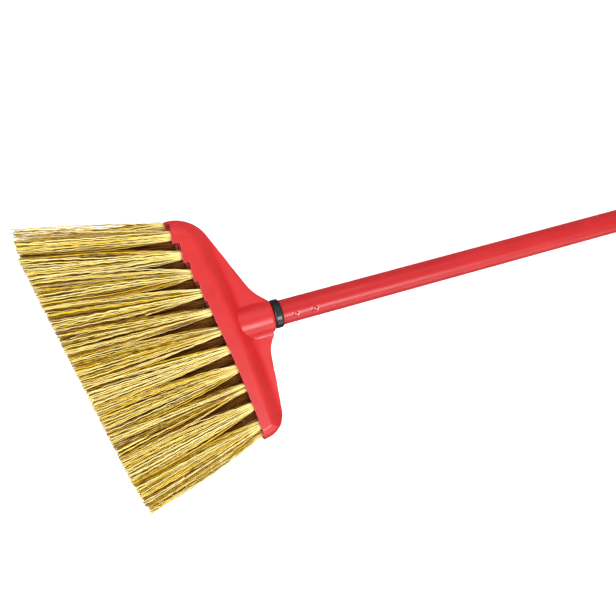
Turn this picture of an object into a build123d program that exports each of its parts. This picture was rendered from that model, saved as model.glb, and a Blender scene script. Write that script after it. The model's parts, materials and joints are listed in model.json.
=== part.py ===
"""Angled broom: a moulded head with four rows of stapled bristle tufts on a screw-in tube handle."""

import os
from math import atan, cos, degrees, radians, sin, tan

from build123d import *

# Every length is in millimetres and every angle in degrees. The working axes start at the centre
# of the socket's mouth: +X runs out along the handle, +Y towards the long end of the sweep and
# +Z out of the front face. The finished broom is laid on its back, on the floor, at the end.

# Handle tube and its two crimps
TUBE_OD = 25.4
TUBE_WALL = 0.9
TUBE_LENGTH = 1219.0
CRIMP_FIRST = 12.7
CRIMP_SPACING = 20.7
CRIMP_TURN = 21.0
CRIMP_BALL = 4.6
CRIMP_DEPTH = 1.6

# Threaded tip, whose collar shows as the black ring
COLLAR_OD = 29.6
COLLAR_WIDTH = 9.5
COLLAR_EDGE = 1.4
STUB_DIAMETER = 19.0
STUB_LENGTH = 36.0
STUB_POINT = 2.0
TIP_PLUG_LENGTH = 48.0
PLUG_EDGE = 0.8

# End cap with its hanging hole
CAP_PLUG_LENGTH = 30.0
CAP_REVEAL = 0.2
CAP_RIM = 6.0
CAP_LENGTH = 38.0
CAP_NOSE = 10.0
CAP_TAB = 12.0
CAP_SHOULDER = 5.0
HANG_HOLE = 9.0

# Head block: a thick bar that holds the tufts, a thinner web and a socket boss
BAR_SEAT = 56.25
BAR_ANGLE = 10.5
BAR_RADIUS = 1260.0
BAR_WIDTH = 15.5
BAR_THICKNESS = 46.0
BAR_EDGE = 8.0
BAR_END_LIFT = 0.3
FRONT_END_EDGE = 17.0
BACK_END_EDGE = 8.0
COVE_RADIUS = 9.0
COVE_SLOPE = 12.0
COVE_TURN = 1.6
WEB_THICKNESS = 12.0
WEB_EDGE = 2.5
SHOULDER_SLOPE = 14.4
LONG_END = 4.9
LONG_SHOULDER = 21.2
LONG_ROUND = 37.0
LONG_KNEE = 46.0
SHORT_END = 7.4
SHORT_SHOULDER = 18.9
SHORT_ROUND = 24.5
SHORT_KNEE = 31.5
NECK_WIDTH = 18.8
NECK_RUN = 42.0
BOSS_OD = 34.0
BOSS_RIM = 3.5
SADDLE_ROUND = 6.0
SOCKET_DEPTH = 39.0
SOCKET_LEAD = 1.0

# Tufts: four rows, the odd rows with one tuft fewer, set half a pitch between the others
ROWS = ("front", "second", "third", "back")
FRONT_TUFTS = 11
TUFT_PITCH = 20.4
ROW_SPACING = 10.5
HOLE_DIAMETER = 8.0
HOLE_DEPTH = 15.0
FAN_MIDDLE = -0.5
FAN_HALF = 11.8
FAN_BEND = 60.0
FACET_FROM = 11.5
FACET_GAIN = 1.6
FACET_SHIFT = 2.0
TRIM_LENGTH = 139.0
TRIM_ANGLE = 10.5
TIP_ROW_SPACING = 15.0
TIP_REACH = 10.0
LONG_REACH = 4.0
SHORT_REACH = 16.0
TIP_DEPTH = 6.0
STRAND = 1.3
STRAND_GAP = 0.6
STRAND_ROWS = (3, 4, 3)
ROOT_SIDES = 8
ROOT_STUB = 1.5
STAPLE_THICKNESS = 0.6
STAPLE_HEIGHT = 3.0
STAPLE_BITE = 0.5

# Clearances
PRESS_GAP = 0.05
THREAD_GAP = 0.25
SLOT_GAP = 0.1
LEAST_STEP = 0.8
FLOOR_FLAT = 0.5
OVERRUN = 1.15
MARGIN = 10.0

# Sizes that follow from the ones above
tube_radius = TUBE_OD / 2
bore_radius = tube_radius - TUBE_WALL
plug_radius = bore_radius - PRESS_GAP
cap_radius = tube_radius - CAP_REVEAL
boss_radius = BOSS_OD / 2
hole_radius = HOLE_DIAMETER / 2
stub_radius = STUB_DIAMETER / 2
socket_radius = stub_radius + THREAD_GAP
half_web = WEB_THICKNESS / 2
half_bar = BAR_THICKNESS / 2
tube_start = COLLAR_WIDTH
tube_end = tube_start + TUBE_LENGTH
crimp_out = tube_radius + CRIMP_BALL - CRIMP_DEPTH
crimp_y = -crimp_out * sin(radians(CRIMP_TURN))
crimp_z = crimp_out * cos(radians(CRIMP_TURN))
crimps = [(tube_start + CRIMP_FIRST + k * CRIMP_SPACING, crimp_y, crimp_z) for k in range(2)]
long_row = (FRONT_TUFTS + 1) * TUFT_PITCH / 2 - TUFT_PITCH / 2
ends = {-1: long_row + LONG_END, 1: long_row + SHORT_END}
bar_half_length = max(ends.values())
bar_bow = bar_half_length**2 / (2 * BAR_RADIUS)
tilt = radians(BAR_ANGLE)
bar_centre = (-BAR_SEAT - BAR_RADIUS * cos(tilt), -BAR_RADIUS * sin(tilt))


def bar_point(s):
    """Point on the bowed tuft line, s along it from the handle's axis."""
    turn = tilt + s / BAR_RADIUS
    return bar_centre[0] + BAR_RADIUS * cos(turn), bar_centre[1] + BAR_RADIUS * sin(turn)


def bar_heading(s):
    """Heading of the tuft line's normal at s, from -X towards +Y."""
    return -tilt - s / BAR_RADIUS


def tuft_heading(s):
    """Heading in which the tuft at s leaves the bar, from -X towards +Y."""
    bend = radians(FAN_BEND)
    return radians(FAN_MIDDLE + FAN_HALF * sin(bend * s / long_row) / sin(bend))


def facet_heading(s):
    """Heading of the moulded facet at s: stepped where the tufts lean most, plain elsewhere."""
    lean = tuft_heading(s) - bar_heading(s)
    if abs(s) > long_row + PRESS_GAP or lean < radians(FACET_FROM):
        return bar_heading(s)
    return bar_heading(s) + min(lean, FACET_GAIN * (lean - radians(FACET_FROM)))


def row_stations(row, spare=0):
    """Places of a row's tufts along the bar, with spare places past each end."""
    count = FRONT_TUFTS + row % 2
    first = (count - 1) * TUFT_PITCH / 2
    return [first - k * TUFT_PITCH for k in range(-spare, count + spare)]


def row_height(row, spacing):
    """Height of a row above the middle of the bar."""
    return ((len(ROWS) - 1) / 2 - row) * spacing


def stair(row):
    """Corners of the stepped tuft face of one row, from the long end to the short end."""
    corners = []
    for s in row_stations(row, spare=1):
        x, y = bar_point(s)
        heading = facet_heading(s)
        half = TUFT_PITCH / 2 * cos(heading - bar_heading(s))
        long_way, short_way = half + FACET_SHIFT, half - FACET_SHIFT
        upper = Vector(x + long_way * sin(heading), y + long_way * cos(heading))
        lower = Vector(x - short_way * sin(heading), y - short_way * cos(heading))
        if corners and (corners[-1] - upper).length < LEAST_STEP:
            corners[-1] = (corners[-1] + upper) / 2
        else:
            corners.append(upper)
        corners.append(lower)
    return corners


trim_tilt = radians(TRIM_ANGLE)
trim_point = Vector(-BAR_SEAT - TRIM_LENGTH, 0, 0)
trim_plane = Plane(trim_point, x_dir=(0, 0, 1), z_dir=(-cos(trim_tilt), -sin(trim_tilt), 0))


def tuft_plane(row, s):
    """Plane on a tuft's root, facing along the tuft, with its Y up through the rows."""
    x, y = bar_point(s)
    heading = tuft_heading(s)
    rise = row_height(row, TIP_ROW_SPACING) - row_height(row, ROW_SPACING)
    lift = atan(rise / TRIM_LENGTH)
    out = (-cos(heading) * cos(lift), sin(heading) * cos(lift), sin(lift))
    across = (-sin(heading), -cos(heading), 0)
    return Plane((x, y, row_height(row, ROW_SPACING)), x_dir=across, z_dir=out)


def tuft_length(plane):
    """Length of a tuft along its axis, from its root to the trimmed sweep."""
    toward = trim_plane.z_dir
    return (trim_point - plane.origin).dot(toward) / plane.z_dir.dot(toward)


tuft_places = []
for row in range(len(ROWS)):
    for k, s in enumerate(row_stations(row)):
        tuft_places.append((row, k, tuft_plane(row, s)))

# The floor touches the back row's trimmed tips and the far end of the tube.
tip_drop = row_height(0, TIP_ROW_SPACING) + TIP_DEPTH + STRAND / 2
rest_tip = trim_point + Vector(0, 0, FLOOR_FLAT - tip_drop)
rest_end = Vector(tube_end, 0, -tube_radius)
sweep_way = Vector(-sin(trim_tilt), cos(trim_tilt), 0)
floor_up = (rest_end - rest_tip).cross(sweep_way).normalized()
floor_plane = Plane(rest_tip, x_dir=rest_end - rest_tip, z_dir=floor_up)

# The bar and its cove are one section turned along a bow of its own, which leaves the bar narrower at
# its short end; the outline is drawn in the bar's frame, with X along the bar towards its short end and
# Y up to the handle.
half_sweep = (bar_half_length + MARGIN) / BAR_RADIUS
cove_tilt = tilt - radians(COVE_TURN)
start = cove_tilt - half_sweep
bow_centre = Vector(-BAR_SEAT - BAR_RADIUS * cos(cove_tilt), -BAR_RADIUS * sin(cove_tilt))
section_plane = Plane(bow_centre, x_dir=(cos(start), sin(start), 0), z_dir=(sin(start), -cos(start), 0))
bar_frame = Plane((-BAR_SEAT, 0, 0), x_dir=(sin(tilt), -cos(tilt), 0), z_dir=(0, 0, 1))
bar_foot = BAR_RADIUS - bar_bow - TUFT_PITCH / 2 - MARGIN
bar_top = BAR_RADIUS + BAR_WIDTH
cove_top = bar_top + COVE_SLOPE
web_top = cove_top + COVE_RADIUS
foot_line = -BAR_WIDTH - MARGIN
slope = tan(radians(SHOULDER_SLOPE))
neck = NECK_WIDTH / 2
shoulders = {-1: LONG_SHOULDER, 1: SHORT_SHOULDER}
rounds = {-1: (LONG_ROUND, LONG_KNEE), 1: (SHORT_ROUND, SHORT_KNEE)}


def neck_side(t, side):
    """Point on the neck's side line in the bar's frame, t along the handle from the tuft line."""
    reach = side * neck
    return t * sin(tilt) + reach * cos(tilt), t * cos(tilt) - reach * sin(tilt)


def knee(side):
    """Point where a shoulder's slope meets the neck's side line, in the bar's frame."""
    rise = shoulders[side] + (ends[side] - neck * cos(tilt)) * slope
    return neck_side((rise + side * neck * sin(tilt)) / (cos(tilt) + side * sin(tilt) * slope), side)


with BuildSketch(bar_frame) as outline:
    with BuildLine():
        Polyline(
            neck_side(BAR_SEAT + NECK_RUN, 1),
            knee(1),
            (ends[1], shoulders[1]),
            (ends[1], foot_line),
            (-ends[-1], foot_line),
            (-ends[-1], shoulders[-1]),
            knee(-1),
            neck_side(BAR_SEAT + NECK_RUN, -1),
            close=True,
        )
    make_face()
    for side, (shoulder_round, knee_round) in rounds.items():
        fillet(outline.vertices().sort_by_distance((*knee(side), 0))[0], knee_round)
        corner = (side * ends[side], shoulders[side], 0)
        fillet(outline.vertices().sort_by_distance(corner)[0], shoulder_round)


def plate(thickness, back_edge, front_edge, limit):
    """The head's outline as a plate up to a limiting plane, with rounded edges there but for its foot."""
    with BuildPart() as blank:
        add(outline.sketch)
        extrude(amount=thickness / 2, both=True)
        split(bisect_by=limit, keep=Keep.BOTTOM)
        for face, edge in ((0, back_edge), (-1, front_edge)):
            rims = blank.faces().sort_by(Axis.Z)[face].edges()
            rims = rims.filter_by(lambda rim: limit.to_local_coords(rim.center()).Z < -PRESS_GAP)
            rims = rims.filter_by(lambda rim: bar_frame.to_local_coords(rim.center()).Y > foot_line / 2)
            fillet(rims, edge)
    return blank.part


past_cove = bar_frame.from_local_coords((0, web_top - BAR_RADIUS + MARGIN, 0))
bar_limit = Plane(past_cove, x_dir=bar_frame.x_dir, z_dir=bar_frame.y_dir)
bar_blank = plate(BAR_THICKNESS + 2 * BAR_END_LIFT, BACK_END_EDGE, FRONT_END_EDGE, bar_limit)
web_blank = plate(WEB_THICKNESS, WEB_EDGE, WEB_EDGE, Plane.YZ.offset(-BOSS_RIM))

# Boss: the socket's round barrel, with the fillets that run it out into the web
boss_back = Plane.YZ.offset(-BAR_SEAT + BAR_WIDTH / 2)
boss_length = BAR_SEAT - BAR_WIDTH / 2
with BuildPart() as boss:
    with BuildSketch(boss_back) as saddle:
        Circle(boss_radius)
        Rectangle(BOSS_OD + 4 * SADDLE_ROUND, WEB_THICKNESS)
        fillet(saddle.vertices().filter_by(lambda v: abs(v.X) < boss_radius), SADDLE_ROUND)
    extrude(amount=boss_length - BOSS_RIM)
    with BuildSketch(bar_frame):
        add(outline.sketch_local)
        offset(amount=-WEB_EDGE)
    extrude(amount=BAR_THICKNESS, both=True, mode=Mode.INTERSECT)
    with BuildSketch(Plane.XZ) as barrel:
        with Locations((-boss_length, 0)):
            Rectangle(boss_length, boss_radius, align=(Align.MIN, Align.MIN))
        fillet(barrel.vertices().sort_by_distance((0, boss_radius))[0], BOSS_RIM)
    revolve(axis=Axis.X)

with BuildPart() as head_block:
    with BuildSketch(section_plane) as section:
        with BuildLine():
            Polyline(
                (bar_foot, -half_bar),
                (bar_top, -half_bar),
                (cove_top, -half_web),
                (web_top, -half_web),
                (web_top, half_web),
                (cove_top, half_web),
                (bar_top, half_bar),
                (bar_foot, half_bar),
                close=True,
            )
        make_face()
        levels = section.vertices().group_by(Axis.X)
        fillet(levels[1], BAR_EDGE)
        levels = section.vertices().group_by(Axis.X)
        fillet(levels[-2], COVE_RADIUS)
    revolve(axis=Axis(bow_centre, (0, 0, 1)), revolution_arc=degrees(2 * half_sweep))
    add(bar_blank, mode=Mode.INTERSECT)
    add([web_blank, boss.part])
    for row in range(len(ROWS)):
        upper = row_height(row, ROW_SPACING) + (ROW_SPACING / 2 if row > 0 else BAR_THICKNESS)
        lower = row_height(row, ROW_SPACING) - (ROW_SPACING / 2 if row + 1 < len(ROWS) else BAR_THICKNESS)
        steps = stair(row)
        past = Vector(-TRIM_LENGTH, 0)
        with BuildSketch(Plane.XY.offset(lower)):
            with BuildLine():
                Polyline(*steps, steps[-1] + past, steps[0] + past, close=True)
            make_face()
        extrude(amount=upper - lower, mode=Mode.SUBTRACT)
    with Locations(*[plane.offset(hole_radius) for _, _, plane in tuft_places]):
        Hole(hole_radius, HOLE_DEPTH + hole_radius)
    with BuildSketch(Plane.XZ):
        with BuildLine():
            Polyline(
                (0, 0),
                (0, socket_radius + SOCKET_LEAD),
                (-SOCKET_LEAD, socket_radius),
                (-SOCKET_DEPTH, socket_radius),
                (-SOCKET_DEPTH, 0),
                close=True,
            )
        make_face()
    revolve(axis=Axis.X, mode=Mode.SUBTRACT)

# Threaded tip: a stub for the socket, the collar and the plug that the tube is crimped on
tip_end = COLLAR_WIDTH + TIP_PLUG_LENGTH
with BuildPart() as threaded_tip:
    with BuildSketch(Plane.XZ) as tip_half:
        with BuildLine():
            Polyline(
                (-STUB_LENGTH, 0),
                (-STUB_LENGTH, stub_radius),
                (0, stub_radius),
                (0, COLLAR_OD / 2),
                (COLLAR_WIDTH, COLLAR_OD / 2),
                (COLLAR_WIDTH, plug_radius),
                (tip_end, plug_radius),
                (tip_end, 0),
                close=True,
            )
        make_face()
        chamfer(tip_half.vertices().sort_by_distance((-STUB_LENGTH, stub_radius))[0], STUB_POINT)
        chamfer(tip_half.vertices().sort_by_distance((tip_end, plug_radius))[0], PLUG_EDGE)
        fillet(tip_half.vertices().filter_by(lambda v: v.Y > (COLLAR_OD + TUBE_OD) / 4), COLLAR_EDGE)
    revolve(axis=Axis.X)
    with Locations(*crimps):
        Sphere(CRIMP_BALL + TUBE_WALL + PRESS_GAP, mode=Mode.SUBTRACT)

# Handle tube: each crimp presses the wall inwards without thinning it
with BuildPart() as crimp_bumps:
    with Locations(*crimps):
        Sphere(CRIMP_BALL + TUBE_WALL)
    with BuildSketch(Plane.YZ.offset(tube_start)):
        Circle(bore_radius + TUBE_WALL / 2)
    extrude(amount=TIP_PLUG_LENGTH, mode=Mode.INTERSECT)

with BuildPart() as handle_tube:
    with BuildSketch(Plane.YZ.offset(tube_start)):
        Circle(tube_radius)
        Circle(bore_radius, mode=Mode.SUBTRACT)
    extrude(amount=TUBE_LENGTH)
    add(crimp_bumps.part)
    with Locations(*crimps):
        Sphere(CRIMP_BALL, mode=Mode.SUBTRACT)

# End cap: a plug with a flattened tab for hanging
cap_start = tube_end - CAP_PLUG_LENGTH
cap_end = tube_end + CAP_LENGTH
tab_start = tube_end + CAP_RIM + CAP_SHOULDER
with BuildPart() as end_cap:
    with BuildSketch(Plane.XZ) as cap_half:
        with BuildLine():
            Polyline(
                (cap_start, 0),
                (cap_start, plug_radius),
                (tube_end, plug_radius),
                (tube_end, cap_radius),
                (cap_end, cap_radius),
                (cap_end, 0),
                close=True,
            )
        make_face()
        chamfer(cap_half.vertices().sort_by_distance((cap_start, plug_radius))[0], PLUG_EDGE)
        fillet(cap_half.vertices().sort_by_distance((cap_end, cap_radius))[0], CAP_NOSE)
    revolve(axis=Axis.X)
    with BuildSketch(Plane.XZ) as flats:
        with BuildLine():
            Polyline(
                (tube_end + CAP_RIM, TUBE_OD),
                (tube_end + CAP_RIM, cap_radius),
                (tab_start, CAP_TAB / 2),
                (cap_end + MARGIN, CAP_TAB / 2),
                (cap_end + MARGIN, TUBE_OD),
                close=True,
            )
        make_face()
        mirror(about=Plane.XZ)
    extrude(amount=TUBE_OD, both=True, mode=Mode.SUBTRACT)
    with Locations(((tab_start + cap_end) / 2, 0, cap_radius)):
        Hole(HANG_HOLE / 2, TUBE_OD)


# Tufts: the folded bundle fills its hole, straddles the staple and spreads out to the sweep
def build_tuft(row, k, plane):
    """One tuft: its root in the hole and its strands, each leaning to its own place in the sweep."""
    length = tuft_length(plane)
    step = STRAND + STRAND_GAP
    half_across = (max(STRAND_ROWS) - 1) / 2 * step
    half_up = (len(STRAND_ROWS) - 1) / 2 * step
    strands = []
    for layer, count in enumerate(STRAND_ROWS):
        up = layer * step - half_up
        for strand in range(count):
            across = (strand - (count - 1) / 2) * step
            place = plane.location * Location((across, up, 0))
            foot = place * Rectangle(STRAND, STRAND, mode=Mode.PRIVATE)
            reach = TIP_REACH
            if k == 0 and across < 0:
                reach = LONG_REACH
            if k == FRONT_TUFTS + row % 2 - 1 and across > 0:
                reach = SHORT_REACH
            tip = Vector(across * reach / half_across, up * TIP_DEPTH / half_up, length)
            lean = (tip - Vector(across, up, 0)) * OVERRUN
            strands.append(Solid.extrude(foot.face(), plane.from_local_coords(lean) - plane.origin))
    with BuildPart() as tuft:
        with BuildSketch(plane.offset(-HOLE_DEPTH)):
            RegularPolygon(hole_radius - PRESS_GAP, ROOT_SIDES)
        extrude(amount=HOLE_DEPTH + ROOT_STUB)
        with BuildSketch(plane.offset(-HOLE_DEPTH)):
            Rectangle(2 * HOLE_DIAMETER, STAPLE_THICKNESS + 2 * SLOT_GAP)
        extrude(amount=STAPLE_HEIGHT + SLOT_GAP, mode=Mode.SUBTRACT)
        add(strands)
        split(bisect_by=trim_plane, keep=Keep.BOTTOM)
        if row == len(ROWS) - 1:
            split(bisect_by=floor_plane, keep=Keep.TOP)
    return tuft


pieces = {
    "head_block": head_block,
    "threaded_tip": threaded_tip,
    "handle_tube": handle_tube,
    "end_cap": end_cap,
}
for row, k, plane in tuft_places:
    pieces[f"tuft_{ROWS[row]}_{k + 1:02d}"] = build_tuft(row, k, plane)

# Staples: flat wire across the floor of each hole, its ends bitten into the wall
with BuildPart() as tuft_staples:
    with Locations(*[plane.offset(-HOLE_DEPTH) for _, _, plane in tuft_places]):
        Box(
            HOLE_DIAMETER + 2 * STAPLE_BITE,
            STAPLE_THICKNESS,
            STAPLE_HEIGHT,
            align=(Align.CENTER, Align.CENTER, Align.MIN),
        )
pieces["tuft_staples"] = tuft_staples

# Lay the broom on the floor, with the middle of its footprint at the origin.
laid = floor_plane.location.inverse()
box = Compound([piece.part.moved(laid) for piece in pieces.values()]).bounding_box()
laid = Location((-box.center().X, -box.center().Y, 0)) * laid

os.makedirs("parts", exist_ok=True)
for name, piece in pieces.items():
    piece.part.locate(laid)
    piece.part.label = name
    export_step(piece.part, f"parts/{name}.step")
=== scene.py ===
"""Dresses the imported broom: crimped bristles, a threaded tip, finishes and a studio with a camera."""

import json
from math import atan, cos, pi, radians, sin

import bpy
import numpy as np
from bpy.props import FloatProperty, FloatVectorProperty, IntProperty, PointerProperty
from mathutils import Matrix, Vector


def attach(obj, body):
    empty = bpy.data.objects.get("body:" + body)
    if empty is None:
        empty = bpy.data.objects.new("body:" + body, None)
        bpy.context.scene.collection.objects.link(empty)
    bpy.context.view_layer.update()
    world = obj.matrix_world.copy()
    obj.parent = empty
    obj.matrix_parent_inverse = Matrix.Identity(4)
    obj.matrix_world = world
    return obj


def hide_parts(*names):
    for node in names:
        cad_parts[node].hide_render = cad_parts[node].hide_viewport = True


bl_info = {
    "name": "Angled broom dressing",
    "version": (1, 0, 0),
    "blender": (4, 5, 0),
    "location": "View3D > Sidebar > Broom",
    "description": "Bristles, threaded tip, finishes and studio for a packed angled broom",
    "category": "Object",
}

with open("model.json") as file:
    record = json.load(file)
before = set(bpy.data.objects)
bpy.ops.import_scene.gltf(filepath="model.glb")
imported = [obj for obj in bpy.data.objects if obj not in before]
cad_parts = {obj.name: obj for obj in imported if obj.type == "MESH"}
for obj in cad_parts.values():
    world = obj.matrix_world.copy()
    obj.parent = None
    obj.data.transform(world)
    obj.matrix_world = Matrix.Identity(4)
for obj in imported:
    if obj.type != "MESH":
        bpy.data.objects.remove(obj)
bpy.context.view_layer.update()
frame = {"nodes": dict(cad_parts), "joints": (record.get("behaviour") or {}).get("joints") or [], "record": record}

# The broom's own axes start at the centre of the socket's mouth: X runs out along the handle, Y towards
# the long end of the sweep and Z out of the front face.
MOUNTS = {mount["name"]: mount for mount in frame["record"]["mounts"]}
HANDLE_WAY = Vector(frame["joints"][0]["axis"]).normalized()
FRONT_WAY = Vector(MOUNTS["hang_hole"]["axis"]).normalized()
SWEEP_WAY = FRONT_WAY.cross(HANDLE_WAY)
GRIP = Vector(MOUNTS["handle_grip"]["pos_m"])
HEAD_POINTS = np.array([v.co for v in frame["nodes"]["head_block"].data.vertices])
MOUTH = GRIP + HANDLE_WAY * float(((HEAD_POINTS - np.array(GRIP)) @ np.array(HANDLE_WAY)).max())
BROOM_AXES = np.array([HANDLE_WAY, SWEEP_WAY, FRONT_WAY]).T

# Each tuft's random draws start from a seed of its own, and every row has so many seeds set aside.
ROWS = ("front", "second", "third", "back")
ROW_SEEDS = 100

# A length below which two places count as one, and the least length that is divided by.
TOUCH = 1e-6
LEAST = 1e-9

# The Mix node's colour sockets go by number, because its other sockets have the same names.
MIX_FIRST = 6
MIX_SECOND = 7
MIX_RESULT = 2

# Strand meshes have a map for baking, and a colour that holds each point's tone, paleness and painted shade.
BAKE_MAP = "OFBake"
STRAND_DATA = "strand"
STRAND_SIDES = 4
STRAND_STEPS = 64
CAP_SPAN = (0.2, 0.8)

# How the strands differ: lengths in metres, angles in radians, and otherwise shares and counts.
END_FULLNESS = 1.3
SPOT_JITTER = 0.03
TIP_JITTER = 0.0007
STRAY_JITTER = 0.003
STRAY_LENGTH = 0.002
OUTER_STRAYS = 5
SWELL_RUN = 0.0014
STRAND_SWAY = 0.0009
LOCK_SWAY = 0.001
CURL = 0.0005
CURL_BENDS = 3
PITCH_JITTER = 0.06
STRAND_PHASE_JITTER = 0.14
LOCK_PHASE_JITTER = 0.2
CRIMP_HEIGHTS = (0.7, 1.3)
CRIMP_RUN = (0.001, 0.022)
CRIMP_FACING = 0.3
CRIMP_FACING_JITTER = 0.6
CORNER_JITTER = 0.25

# The sweep's corners wear down between these distances from the handle's axis.
LONG_CORNER = (0.108, 0.126)
SHORT_CORNER = (0.1, 0.15)
SHORT_WEAR = 0.5

# Tones of the strands go from nought, the darkest, to one, the palest.
TONE = 0.64
TONE_JITTER = 0.25
LOCK_TONE_JITTER = 0.1
# Dark strands take these tones: a random tone that partly stands in as painted shade between locks.
DARK_TONES = (0.0, 0.12)
GOLD_TONE = 0.6
# Strands near the brush's outside get a lighter tone: painted light.
PAINTED_LIGHT_LIFT = 0.2
PAINTED_LIGHT_DEPTHS = (0.0, 0.005)

# Strands are paler at their roots and tips, and dark ones less so.
ROOT_PALENESS = 0.55
ROOT_RUN = (0.004, 0.026)
TIP_PALENESS = 0.2
TIP_RUN = (0.94, 1.0)
DARK_PALENESS = 0.4

# Strands get painted shade deep between the rows, less so towards the sweep, and on their inner sides.
SHADE_DEPTHS = (0.003, 0.0105)
SHADE_LOSS = 0.85
SHADE_LOSS_RUN = (0.25, 0.85)
INNER_SIDES = (-0.75, 0.35)
INNER_LEAST = 0.35
INNER_RUN = (0.003, 0.018)

# The thread's groove is given in shares of its pitch, and its runs at both ends in metres.
TIP_SIDES = 120
TURN_STEPS = 14
EDGE_DEGREES = range(0, 91, 15)
PLUG_STEP = 0.0008
GROOVE_TOP = 0.32
GROOVE_FLOOR = 0.16
POINT_RUN = (0.0005, 0.004)
COLLAR_RUN = (0.0005, 0.003)
SHARP_ANGLE = radians(35)

# The tube's crimps, whose gloss ends between these distances from their centres.
CRIMPS = 2
CRIMP_RIM = (0.0047, 0.0053)

# The stage's white, its sky from the horizon up, its backdrop, what its lights face and its picture.
WHITE = (1.0, 1.0, 1.0, 1.0)
SKY_LEAST = 0.15
SKY_RISE = (0.0, 0.6)
WALL_SIDES = 72
WALL_STEPS = 20
LIGHT_AIM = (-0.05, 0.0, 0.0)
PICTURE_WIDTH = 616


def to_frame(points):
    """Points in the broom's axes, as an array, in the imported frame."""
    return points @ BROOM_AXES.T + np.array(MOUTH)


def at(place):
    """A place in the broom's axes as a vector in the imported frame."""
    return Vector(to_frame(np.array(place)))


# Settings


def length(name, description, default):
    """A length property in metres."""
    return FloatProperty(
        name=name, description=description, default=default, unit="LENGTH", precision=5
    )


def turn(name, description, default):
    """An angle property, given in degrees."""
    return FloatProperty(
        name=name, description=description, default=radians(default), subtype="ANGLE"
    )


def share(name, description, default):
    """A property from nought to one."""
    return FloatProperty(
        name=name, description=description, default=default, min=0.0, max=1.0, subtype="FACTOR"
    )


def watts(name, description, default):
    """A light's power in watts."""
    return FloatProperty(name=name, description=description, default=default, unit="POWER")


def colour(name, description, default):
    """A linear colour property."""
    return FloatVectorProperty(
        name=name, description=description, default=default, min=0.0, max=1.0, subtype="COLOR"
    )


class BroomTufts(bpy.types.PropertyGroup):
    """Places of the tufts in the head and the sizes of their strands."""

    seat: length("Bar seat", "From the socket's mouth to the tuft line", 0.05625)
    bar_angle: turn("Bar angle", "Slant of the bar across the handle", 10.5)
    bar_radius: length("Bar radius", "Bow of the tuft line", 1.26)
    pitch: length("Pitch", "From tuft to tuft along a row", 0.0204)
    front_tufts: IntProperty(name="Front tufts", description="Tufts in the front row", default=11)
    row_spacing: length("Row spacing", "From row to row at the bar", 0.0105)
    tip_row_spacing: length("Tip row spacing", "From row to row at the sweep", 0.015)
    hole: length("Hole", "Diameter of a tuft's hole", 0.008)
    sunk: length("Sunk length", "How far the strands go into the hole", 0.0105)
    fan_middle: turn("Fan middle", "Lean of the middle tuft", -0.5)
    fan_half: turn("Fan half", "Lean of the end tufts past the middle one", 11.8)
    fan_bend: turn("Fan bend", "How far the lean levels off towards the ends", 60.0)
    trim_length: length("Trim length", "From the tuft line to the sweep, on the handle's axis", 0.139)
    trim_angle: turn("Trim angle", "Slant of the sweep", 10.5)
    tip_reach: length("Tip reach", "Half width of a tuft at the sweep", 0.014)
    long_reach: length("Long end reach", "Outer half width of the tufts at the long end", 0.003)
    short_reach: length("Short end reach", "Outer half width of the tufts at the short end", 0.016)
    parting: length("Parting", "How far an outer row's first two tufts draw back from each other", 0.0045)
    tip_depth: length("Tip depth", "Half depth of a tuft at the sweep", 0.0066)
    root_reach: length("Root reach", "Half width of a tuft just out of its hole", 0.0043)
    root_depth: length("Root depth", "Half depth of a tuft just out of its hole", 0.0040)
    root_run: length("Root run", "How far a tuft keeps its width out of its hole", 0.006)
    flare: FloatProperty(name="Flare", description="How soon a tuft widens", default=1.6)
    strands: IntProperty(name="Strands", description="Strands in a tuft", default=80)
    strand: length("Strand", "Diameter of a strand", 0.0009)
    # Dark locks are a random tone that also stands in for the shade between locks: partly painted shade.
    shaded: share("Shaded locks", "Share of the locks that are dark", 0.05)
    crimp: length("Crimp", "Height of a strand's waves to each side", 0.00028)
    crimp_pitch: length("Crimp pitch", "Length of one wave", 0.014)
    locks: IntProperty(name="Locks", description="Locks that a tuft's strands gather in", default=30)
    gather: share("Gather", "How far the tips draw together in their locks", 0.3)
    ragged: length("Raggedness", "Unevenness of the trimmed tips", 0.0008)
    stray: share("Strays", "Share of the strands that wander", 0.05)
    splay: length("Splay", "How far the strays at the long end stand out", 0.011)
    worn: length("Worn corners", "How much shorter the long corner is; the short one by half", 0.004)
    # Dark strands are a random tone that also stands in for the shade between strands: partly painted shade.
    dark: share("Dark strands", "Share of single strands that are dark", 0.12)
    # Strands set to the palest tone stand in for glints: a painted highlight.
    bright: share("Bright strands", "Share of single strands that are palest", 0.08)
    # Painted shade on the side of each strand that faces into its tuft.
    painted_inner_shade: share("Ridge", "How much darker a strand is on its inner side", 0.85)


class BroomTip(bpy.types.PropertyGroup):
    """Sizes of the threaded tip."""

    stub_diameter: length("Stub diameter", "Over the crests of the thread", 0.019)
    stub_length: length("Stub length", "From the collar to the point", 0.036)
    stub_point: length("Stub point", "Chamfer at the end of the stub", 0.002)
    collar_diameter: length("Collar diameter", "Outside of the ring that shows", 0.0296)
    collar_width: length("Collar width", "Along the handle", 0.0095)
    collar_edge: length("Collar edge", "Rounding of the ring's edges", 0.0026)
    plug_diameter: length("Plug diameter", "Inside the tube", 0.0235)
    plug_length: length("Plug length", "Inside the tube", 0.048)
    plug_edge: length("Plug edge", "Chamfer at the end of the plug", 0.0008)
    thread_pitch: length("Thread pitch", "Advance in one turn", 0.00508)
    thread_depth: length("Thread depth", "From crest to root", 0.0013)
    crimp_first: length("First crimp", "From the tube's end to the first crimp", 0.0127)
    crimp_spacing: length("Crimp spacing", "From crimp to crimp", 0.0207)
    crimp_turn: turn("Crimp turn", "From the front of the handle round to the crimps", 21.0)
    crimp_out: length("Crimp centre", "From the handle's axis to a crimp's centre", 0.0157)
    crimp_dent: length("Crimp dent", "Radius of a dent in the plug", 0.00555)


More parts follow.
